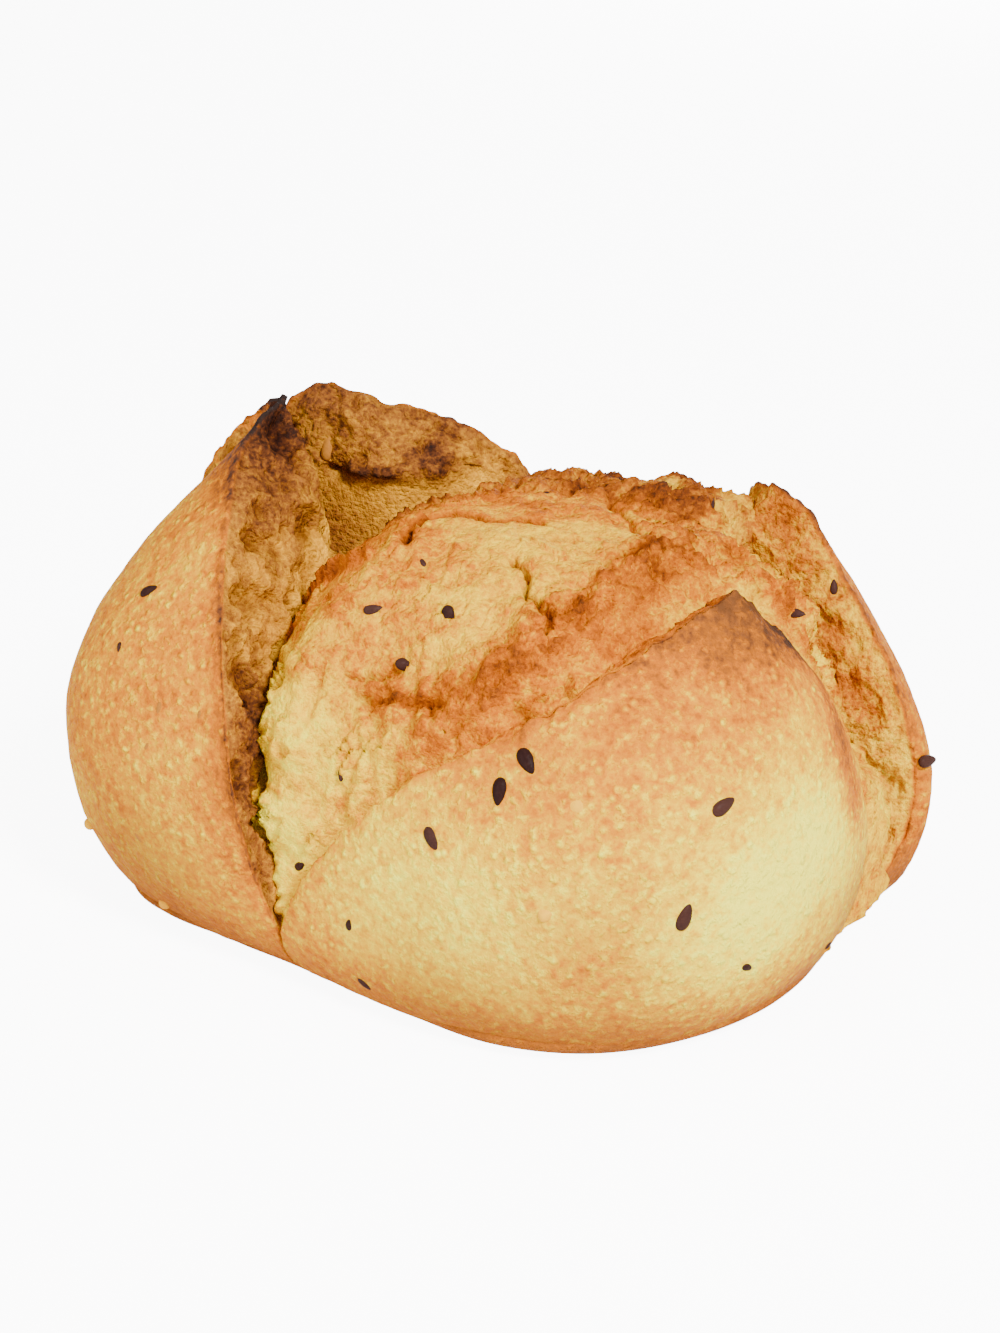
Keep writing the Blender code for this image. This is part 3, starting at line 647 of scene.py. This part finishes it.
def make_core():
    """Core: rings joined into a closed body with one point at the base and one at the top."""
    rings, (toast, pore, deep, rough, wall) = core_rings()
    rows, n = rings.shape[0] - 1, rings.shape[1]
    vertices = np.concatenate([rings[:-1].reshape(-1, 3), [(0, 0, 1.0)], rings[-1][:1]])
    grow = lambda v: np.concatenate([v[:-1].ravel(), [v[0, 0], v[-1, 0]]])
    # the crumb's brightness is 1 less the painted shade by the walls
    values = {"toast": grow(toast), "pore": grow(pore), "crack": grow(deep), "rough": grow(rough),
              "fresh_and_unshaded": 1 - grow(wall)}
    return closed_object("crumb_core", vertices, grid_faces(rows, n, True), end_fans(rows, n), values)


CORE = make_core()


# section of the bottom crust: height, how far inside the loaf's side
BASE_PROFILE = [
    (0.0, 30.0), (0.0, 12.0), (0.0, 4.0), (0.0, 0.9), (0.5, 0.15), (1.2, 0.0), (2.2, 0.0), (3.4, 0.1),
    (4.4, 0.9), (5.0, 2.2), (5.0, 8.0), (5.0, 30.0)]
BASE_TOAST = 0.70


def make_base():
    """Bottom crust: a low disc with a rounded edge that follows the foot of the loaf."""
    azimuth = np.linspace(-180, 180, 360, endpoint=False)
    c, s = np.cos(np.radians(azimuth)), np.sin(np.radians(azimuth))
    rings = []
    for z, inset in BASE_PROFILE:
        r = side_radius(azimuth, z) - inset + (0.25 * np.sin(7 * np.radians(azimuth)) if inset < 5 else 0)
        rings.append(np.stack([r * c, r * s, 0 * r + z], 1))
    rings = np.array(rings)
    rows, n = rings.shape[:2]
    vertices = np.concatenate([rings.reshape(-1, 3), [(0, 0, 0.0), (0, 0, 5.0)]])
    values = dict.fromkeys(("torn", "pore", "fresh_and_unshaded", "rough"), np.zeros(len(vertices)))
    # the whole bottom crust gets the full brown mix: a browner bake, partly painted shade under the loaf
    values.update(toast=np.full(len(vertices), BASE_TOAST), shade=np.ones(len(vertices)))
    return closed_object("base_crust", vertices, grid_faces(rows, n, True), end_fans(rows, n), values)


BASE = make_base()


# seeds
# each seed: x, y, z near the surface, turn from the level tangent in degrees, size, how far it is sunk
FLAX = [
    (-20, -19, 63, 0, 1.0, 0.25), (-8, -26, 65, -70, 1.15, 0.25), (-15, -28, 59, -20, 1.0, 0.25),
    (-13, -13, 69, -60, 0.7, 0.5), (8, 10, 72, 30, 0.5, 0.3), (-24, -30, 41, -30, 0.8, 0.3),
    (37, 10, 71, 20, 0.7, 0.3), (49, -11, 60, 5, 0.9, 0.3), (-39, -26, 28, -75, 1.0, 0.2),
    (-31, -28, 23, 40, 0.8, 0.2), (-36, -27, 19, -5, 0.6, 0.2), (4, -49, 53, -50, 1.25, 0.25),
    (0, -50, 48, -85, 1.2, 0.25), (-11, -50, 39, -50, 1.35, 0.5), (35, -51, 46, 20, 1.2, 0.2),
    (29, -58, 30, 65, 1.25, 0.25), (40, -53, 17, -35, 1.0, 0.6), (55, -35, 10, -15, 0.8, 0.4),
    (-25, -43, 19, 80, 0.9, 0.6), (-22, -42, 7, -40, 1.0, 0.5), (-59, -3, 60, 45, 1.0, 0.25),
    (-64, -8, 52, -65, 0.5, 0.2), (75, -4, 28, -10, 1.1, -0.4), (58, 6, 57, 90, 0.7, 0.2),
]
GOLDEN = [
    (-31, 31, 73, 85, 1.1, 0.3), (-36, 16, 73, 40, 1.0, 0.3), (-12, -5, 71, 85, 0.8, 0.6),
    (-57, -19, 46, -90, 0.9, 0.75), (-50, -23, 47, -85, 0.7, 0.75), (-59, -20, 40, 65, 0.7, 0.75),
    (-61, -20, 22, -45, 0.8, 0.7),
]
MILLET = [(7, -59, 31, 25, 0.8, 0.35), (-58, -16, 7, 35, 0.8, 0.2), (-73, -8, 17, 30, 0.8, 0.0),
          (12, -54, 48, 60, 1.2, 1.0)]


def surface_tree(items):
    """Search tree over the faces of several objects, in millimetres."""
    points, faces = [], []
    for item in items:
        co = np.empty(len(item.data.vertices) * 3, np.float32)
        item.data.vertices.foreach_get("co", co)
        start = len(points)
        points.extend((co.reshape(-1, 3) / MM).tolist())
        faces.extend([[v + start for v in face.vertices] for face in item.data.polygons])
    return BVHTree.FromPolygons(points, faces)


def drop_shape(rows, columns, half):
    """Drop: half an ellipse turned about its long axis, narrower toward one end and flattened."""
    u = np.linspace(0, math.pi, rows + 2)[1:-1, None]
    v = np.linspace(0, 2 * math.pi, columns, endpoint=False)[None]
    thick = np.sin(u) * (1 - 0.30 * np.cos(u))
    x = half[0] * np.cos(u) + 0 * v
    return (np.stack([x, half[1] * thick * np.cos(v), half[2] * thick * np.sin(v)], 2),
            np.array([(half[0], 0, 0), (-half[0], 0, 0)]))


def seed_frames(places, tree):
    """Centre and three axes of every seed: along, across and out of the nearest surface."""
    centres, axes = [], []
    for x, y, z, turn, size, sink in places:
        spot, normal, _, _ = tree.find_nearest(Vector((x, y, z)))
        level = Vector((0, 0, 1)).cross(normal)
        level = level.normalized() if level.length > 1e-4 else Vector((1, 0, 0))
        t = math.radians(turn)
        along = level * math.cos(t) + normal.cross(level) * math.sin(t)
        axes.append(size * np.array((along, normal.cross(along), normal)))
        centres.append(np.array(spot) - np.array(normal) * sink * 0.95 * size)
    return np.array(centres), np.array(axes)


def make_seeds(name, places, half, tree):
    """Drops at every place, joined into one mesh."""
    rows, columns = 14, 16
    grid, tips = drop_shape(rows, columns, half)
    one = np.concatenate([grid.reshape(-1, 3), tips])
    centres, axes = seed_frames(places, tree)
    points = (centres[:, None] + np.einsum("vk,skj->svj", one, axes)).reshape(-1, 3)
    quads, fans = grid_faces(rows, columns, True), end_fans(rows, columns)
    step = (np.arange(len(places)) * len(one))[:, None, None]
    quads, fans = (quads[None] + step).reshape(-1, 4), (fans[None] + step).reshape(-1, 3)
    tint = np.repeat(np.random.default_rng(9).uniform(0, 1, len(places)), len(one))
    return closed_object(name, points, quads, fans, {"tint": tint})


TREE = surface_tree([LEFT, BACK, RIGHT, FRONT, CORE])
FLAX_SEEDS = make_seeds("flax_seeds", FLAX, (1.95, 1.0, 0.75), TREE)
GOLDEN_SEEDS = make_seeds("golden_seeds", GOLDEN, (2.3, 1.0, 0.8), TREE)
MILLET_SEEDS = make_seeds("millet_seeds", MILLET, (1.5, 1.35, 1.2), TREE)


# materials
def feed(tree, node, inputs):
    """Node whose inputs, by name or number, get a linked socket or a plain value."""
    for key, value in inputs.items():
        if isinstance(value, bpy.types.NodeSocket):
            tree.links.new(value, node.inputs[key])
        else:
            node.inputs[key].default_value = value
    return node


def put(tree, kind, inputs, **settings):
    """New node with its settings and inputs."""
    node = tree.nodes.new(kind)
    for key, value in settings.items():
        setattr(node, key, value)
    return feed(tree, node, inputs)


def maths(tree, operation, a, b=None, c=None, clamp=False):
    """Result of one sum on numbers or sockets."""
    inputs = {0: a}
    if b is not None:
        inputs[1] = b
    if c is not None:
        inputs[2] = c
    return put(tree, "ShaderNodeMath", inputs, operation=operation, use_clamp=clamp).outputs[0]


def blend_colours(tree, factor, a, b, mode="MIX"):
    """Two colours mixed by a factor."""
    node = put(tree, "ShaderNodeMix", {0: factor, 6: a, 7: b}, data_type="RGBA", blend_type=mode)
    return node.outputs[2]


def fade(tree, value, low, high):
    """0 at low, 1 at high, straight between and held beyond."""
    inputs = {0: value, 1: low, 2: high, 3: 0.0, 4: 1.0}
    return put(tree, "ShaderNodeMapRange", inputs, clamp=True).outputs[0]


def ramp(tree, value, stops):
    """Colours along a number from 0 to 1."""
    node = put(tree, "ShaderNodeValToRGB", {0: value})
    band = node.color_ramp
    while len(band.elements) > 1:
        band.elements.remove(band.elements[0])
    for i, (place, colour) in enumerate(stops):
        item = band.elements[0] if i == 0 else band.elements.new(place)
        item.position = place
        item.color = (*colour, 1)
    return node.outputs[0]


def new_group(name, takes, gives):
    """Empty shader node group with named inputs and outputs."""
    group = bpy.data.node_groups.new(name, "ShaderNodeTree")
    for label, kind, value in takes:
        socket = group.interface.new_socket(name=label, in_out="INPUT", socket_type=kind)
        if value is not None:
            socket.default_value = value
    for label, kind in gives:
        group.interface.new_socket(name=label, in_out="OUTPUT", socket_type=kind)
    return group, group.nodes.new("NodeGroupInput").outputs, group.nodes.new("NodeGroupOutput").inputs


def use_group(tree, group, inputs):
    """Outputs of a group placed in a tree."""
    return put(tree, "ShaderNodeGroup", inputs, node_tree=group).outputs


def grain_group():
    """Soft blotches around zero at one size in millimetres."""
    group, takes, gives = new_group(
        "grain", [("Position", "NodeSocketVector", None), ("Size", "NodeSocketFloat", 5.0)],
        [("Value", "NodeSocketFloat")])
    scale = maths(group, "DIVIDE", 1.0, takes["Size"])
    noise = put(group, "ShaderNodeTexNoise", {"Vector": takes["Position"], "Scale": scale, "Detail": 3.0,
                                              "Roughness": 0.55})
    group.links.new(maths(group, "MULTIPLY_ADD", noise.outputs["Fac"], 4.0, -2.0), gives["Value"])
    return group


GRAIN = grain_group()


def position(tree):
    """Place on the loaf in millimetres."""
    place = tree.nodes.new("ShaderNodeTexCoord").outputs["Object"]
    return put(tree, "ShaderNodeVectorMath", {0: place, "Scale": 1 / MM}, operation="SCALE").outputs[0]


def named(tree, name):
    """Number stored on the vertices."""
    return put(tree, "ShaderNodeAttribute", {}, attribute_name=name).outputs["Fac"]


CRUST_STOPS = [(0.0, (0.95, 0.84, 0.06)), (0.16, (0.93, 0.66, 0.018)), (0.32, (0.78, 0.40, 0.003)),
               (0.46, (0.66, 0.225, 0.002)), (0.60, (0.52, 0.13, 0.002)), (0.72, (0.32, 0.085, 0.008)),
               (0.82, (0.17, 0.05, 0.014)), (0.92, (0.06, 0.024, 0.014)), (1.0, (0.028, 0.017, 0.014))]
CRUMB_STOPS = [(0.0, (0.93, 0.74, 0.03)), (0.2, (0.90, 0.52, 0.005)), (0.36, (0.74, 0.33, 0.002)),
               (0.50, (0.61, 0.175, 0.001)), (0.62, (0.50, 0.118, 0.001)), (0.76, (0.36, 0.078, 0.003)),
               (0.90, (0.24, 0.052, 0.006)), (1.0, (0.13, 0.035, 0.008))]
TORN_STOPS = [(0.0, (0.88, 0.42, 0.02)), (0.2, (0.60, 0.26, 0.012)), (0.4, (0.38, 0.145, 0.012)),
              (0.55, (0.25, 0.080, 0.013)), (0.7, (0.125, 0.038, 0.011)), (0.85, (0.05, 0.016, 0.008)),
              (1.0, (0.022, 0.011, 0.008))]


def crust_group():
    """Baked skin: toast colours with blotches, pale flecks and small blisters."""
    group, takes, gives = new_group(
        "baked skin", [("Position", "NodeSocketVector", None), ("Toast", "NodeSocketFloat", 0.4),
                       ("Shade", "NodeSocketFloat", 0.0)],
        [("Color", "NodeSocketColor"), ("Roughness", "NodeSocketFloat"), ("Height", "NodeSocketFloat")])
    p = takes["Position"]
    broad = use_group(group, GRAIN, {"Position": p, "Size": 11.0})["Value"]
    small = use_group(group, GRAIN, {"Position": p, "Size": 2.6})["Value"]
    fine = use_group(group, GRAIN, {"Position": p, "Size": 0.7})["Value"]
    level = maths(group, "MULTIPLY_ADD", broad, 0.09, takes["Toast"])
    level = maths(group, "MULTIPLY_ADD", small, 0.10, level)
    level = maths(group, "MULTIPLY_ADD", fine, 0.06, level)
    speck = use_group(group, GRAIN, {"Position": p, "Size": 1.5})["Value"]
    pale, dark = fade(group, speck, 0.1, 0.7), fade(group, speck, -0.1, -0.7)
    level = maths(group, "MULTIPLY_ADD", pale, -0.16, level)
    level = maths(group, "MULTIPLY_ADD", dark, 0.11, level)
    cells = put(group, "ShaderNodeTexVoronoi", {"Vector": p, "Scale": 0.55})
    fleck = fade(group, cells.outputs["Distance"], 0.50, 0.15)
    fleck = maths(group, "MULTIPLY", fleck, fade(group, small, -0.2, 0.4))
    level = maths(group, "MULTIPLY_ADD", fleck, -0.26, level, clamp=True)
    colour = ramp(group, level, CRUST_STOPS)
    # Shade mixes toward a dull brown: painted shade low on the loaf, and real browning at the front flap's
    # tip
    shade = maths(group, "MULTIPLY", takes["Shade"], 0.6)
    colour = blend_colours(group, shade, colour, (0.27, 0.082, 0.011, 1))
    group.links.new(colour, gives["Color"])
    group.links.new(maths(group, "MULTIPLY_ADD", fine, 0.05, 0.50), gives["Roughness"])
    height = maths(group, "MULTIPLY_ADD", fleck, 0.8, maths(group, "MULTIPLY", fine, 0.15))
    height = maths(group, "MULTIPLY_ADD", pale, 0.5, height)
    group.links.new(maths(group, "MULTIPLY_ADD", small, 0.45, height), gives["Height"])
    return group


def crumb_group():
    """Torn crumb: bright where freshly torn, brown where toasted, with painted shade in pores, cracks and by
    flap walls.
    """
    group, takes, gives = new_group(
        "torn crumb", [("Position", "NodeSocketVector", None), ("Toast", "NodeSocketFloat", 0.3),
                       ("Pore", "NodeSocketFloat", 0.0), ("Rough", "NodeSocketFloat", 1.0),
                       ("Fresh And Unshaded", "NodeSocketFloat", 1.0)],
        [("Color", "NodeSocketColor"), ("Roughness", "NodeSocketFloat"), ("Height", "NodeSocketFloat")])
    p = takes["Position"]
    broad = use_group(group, GRAIN, {"Position": p, "Size": 8.0})["Value"]
    small = use_group(group, GRAIN, {"Position": p, "Size": 2.2})["Value"]
    fine = use_group(group, GRAIN, {"Position": p, "Size": 0.6})["Value"]
    level = maths(group, "MULTIPLY_ADD", broad, 0.07, takes["Toast"])
    level = maths(group, "MULTIPLY_ADD", small, 0.11, level)
    level = maths(group, "MULTIPLY_ADD", fine, 0.08, level)
    speck = use_group(group, GRAIN, {"Position": p, "Size": 1.2})["Value"]
    contrast = maths(group, "MULTIPLY_ADD", takes["Rough"], 0.07, 0.09)
    level = maths(group, "MULTIPLY_ADD", speck, contrast, level)
    crust = use_group(group, GRAIN, {"Position": p, "Size": 4.5})["Value"]
    contrast = maths(group, "MULTIPLY", takes["Rough"], 0.12)
    level = maths(group, "MULTIPLY_ADD", crust, contrast, level, clamp=True)
    torn, risen = ramp(group, level, TORN_STOPS), ramp(group, level, CRUMB_STOPS)
    colour = blend_colours(group, takes["Fresh And Unshaded"], torn, risen)
    # painted shade: pores and cracks darken the colour by multiplying it
    shade = maths(group, "MULTIPLY", takes["Pore"], 0.85, clamp=True)
    colour = blend_colours(group, shade, colour, (0.30, 0.20, 0.25, 1), mode="MULTIPLY")
    group.links.new(colour, gives["Color"])
    group.links.new(maths(group, "MULTIPLY_ADD", fine, 0.04, 0.66), gives["Roughness"])
    cells = put(group, "ShaderNodeTexVoronoi", {"Vector": p, "Scale": 0.9})
    bubble = maths(group, "MULTIPLY", cells.outputs["Distance"], takes["Rough"])
    height = maths(group, "MULTIPLY_ADD", fine, 0.2, maths(group, "MULTIPLY", small, 0.5))
    height = maths(group, "MULTIPLY_ADD", speck, 0.4, height)
    group.links.new(maths(group, "MULTIPLY_ADD", bubble, 0.7, height), gives["Height"])
    return group


CRUST_GROUP, CRUMB_GROUP = crust_group(), crumb_group()


def new_material(name):
    """Node material with its tree and shader."""
    material = bpy.data.materials.new(name)
    material.use_nodes = True
    tree = material.node_tree
    shader = tree.nodes["Principled BSDF"]
    shader.inputs["Specular IOR Level"].default_value = 0.02
    return material, tree, shader


def crust_material():
    """Baked skin on the outside of a flap and torn crumb behind its rim."""
    material, tree, shader = new_material("crust")
    p, toast, torn = position(tree), named(tree, "toast"), named(tree, "torn")
    skin = use_group(tree, CRUST_GROUP, {"Position": p, "Toast": toast, "Shade": named(tree, "shade")})
    crumb = use_group(tree, CRUMB_GROUP, {
        "Position": p, "Toast": toast, "Pore": named(tree, "pore"),
        "Rough": named(tree, "rough"), "Fresh And Unshaded": named(tree, "fresh_and_unshaded")})
    tree.links.new(blend_colours(tree, torn, skin["Color"], crumb["Color"]), shader.inputs["Base Color"])
    gap = maths(tree, "SUBTRACT", crumb["Roughness"], skin["Roughness"])
    tree.links.new(maths(tree, "MULTIPLY_ADD", gap, torn, skin["Roughness"]), shader.inputs["Roughness"])
    gap = maths(tree, "SUBTRACT", crumb["Height"], skin["Height"])
    height = maths(tree, "MULTIPLY_ADD", gap, torn, skin["Height"])
    bump = put(tree, "ShaderNodeBump", {"Height": height, "Strength": 0.8, "Distance": 0.0005})
    tree.links.new(bump.outputs[0], shader.inputs["Normal"])
    return material


def crumb_material():
    """Torn crumb of the risen middle."""
    material, tree, shader = new_material("crumb")
    # painted shade in pores and cracks
    pore = maths(tree, "MAXIMUM", named(tree, "pore"), named(tree, "crack"))
    crumb = use_group(tree, CRUMB_GROUP, {
        "Position": position(tree), "Toast": named(tree, "toast"), "Pore": pore,
        "Rough": named(tree, "rough"), "Fresh And Unshaded": named(tree, "fresh_and_unshaded")})
    tree.links.new(crumb["Color"], shader.inputs["Base Color"])
    tree.links.new(crumb["Roughness"], shader.inputs["Roughness"])
    bump = put(tree, "ShaderNodeBump", {"Height": crumb["Height"], "Strength": 0.8, "Distance": 0.0005})
    tree.links.new(bump.outputs[0], shader.inputs["Normal"])
    return material


def seed_material(name, dark, light, roughness):
    """Seed coat between two tints with fine mottling."""
    material, tree, shader = new_material(name)
    grain = use_group(tree, GRAIN, {"Position": position(tree), "Size": 0.6})["Value"]
    mix = maths(tree, "MULTIPLY_ADD", grain, 0.25, named(tree, "tint"), clamp=True)
    tree.links.new(blend_colours(tree, mix, (*dark, 1), (*light, 1)), shader.inputs["Base Color"])
    shader.inputs["Roughness"].default_value = roughness
    bump = put(tree, "ShaderNodeBump", {"Height": grain, "Strength": 0.3, "Distance": 0.0001})
    tree.links.new(bump.outputs[0], shader.inputs["Normal"])
    return material


CRUST, CRUMB = crust_material(), crumb_material()
for item in (LEFT, BACK, RIGHT, FRONT, BASE):
    item.data.materials.append(CRUST)
CORE.data.materials.append(CRUMB)
for item, name, dark, light, roughness in (
        (FLAX_SEEDS, "flax seed", (0.020, 0.008, 0.007), (0.050, 0.021, 0.016), 0.35),
        (GOLDEN_SEEDS, "golden seed", (0.26, 0.085, 0.012), (0.40, 0.15, 0.018), 0.4),
        (MILLET_SEEDS, "millet", (0.72, 0.30, 0.008), (0.80, 0.42, 0.02), 0.45)):
    item.data.materials.append(seed_material(name, dark, light, roughness))


# floor and light, in metres and watts
FLOOR_SIDE = 12.0
FLOOR_GLOW = 9.0
WORLD_LIGHT = 0.48
LIGHT_AIM = (0, 0, 0.03)


def make_floor():
    """Plain pale floor under the loaf."""
    mesh = bpy.data.meshes.new("floor")
    h = FLOOR_SIDE / 2
    mesh.from_pydata([(-h, -h, 0), (h, -h, 0), (h, h, 0), (-h, h, 0)], [], [(0, 1, 2, 3)])
    floor = bpy.data.objects.new("floor", mesh)
    bpy.context.scene.collection.objects.link(floor)
    material, tree, shader = new_material("floor")
    shader.inputs["Base Color"].default_value = (0.93, 0.93, 0.93, 1)
    shader.inputs["Roughness"].default_value = 0.9
    shader.inputs["Emission Color"].default_value = (1, 1, 1, 1)
    seen = tree.nodes.new("ShaderNodeLightPath").outputs["Is Camera Ray"]
    tree.links.new(maths(tree, "MULTIPLY", seen, FLOOR_GLOW), shader.inputs["Emission Strength"])
    mesh.materials.append(material)


def make_light(name, place, size, power):
    """Square soft light aimed at the loaf."""
    data = bpy.data.lights.new(name, "AREA")
    data.size = size
    data.energy = power
    light = bpy.data.objects.new(name, data)
    light.location = place
    light.rotation_euler = (Vector(LIGHT_AIM) - Vector(place)).to_track_quat("-Z", "Y").to_euler()
    bpy.context.scene.collection.objects.link(light)


make_floor()
make_light("key", (0.36, -0.52, 0.72), 0.20, 18.0)
make_light("fill", (-0.8, -0.5, 0.4), 0.8, 9.0)
make_light("back", (0.25, 0.95, 0.20), 0.3, 6.0)
world = bpy.data.worlds.new("studio")
world.use_nodes = True
world.node_tree.nodes["Background"].inputs[0].default_value = (1, 1, 1, 1)
world.node_tree.nodes["Background"].inputs[1].default_value = WORLD_LIGHT
bpy.context.scene.world = world

for item in (LEFT, BACK, RIGHT, FRONT, BASE, CORE, FLAX_SEEDS, GOLDEN_SEEDS, MILLET_SEEDS):
    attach(item, "root")
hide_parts("loaf")
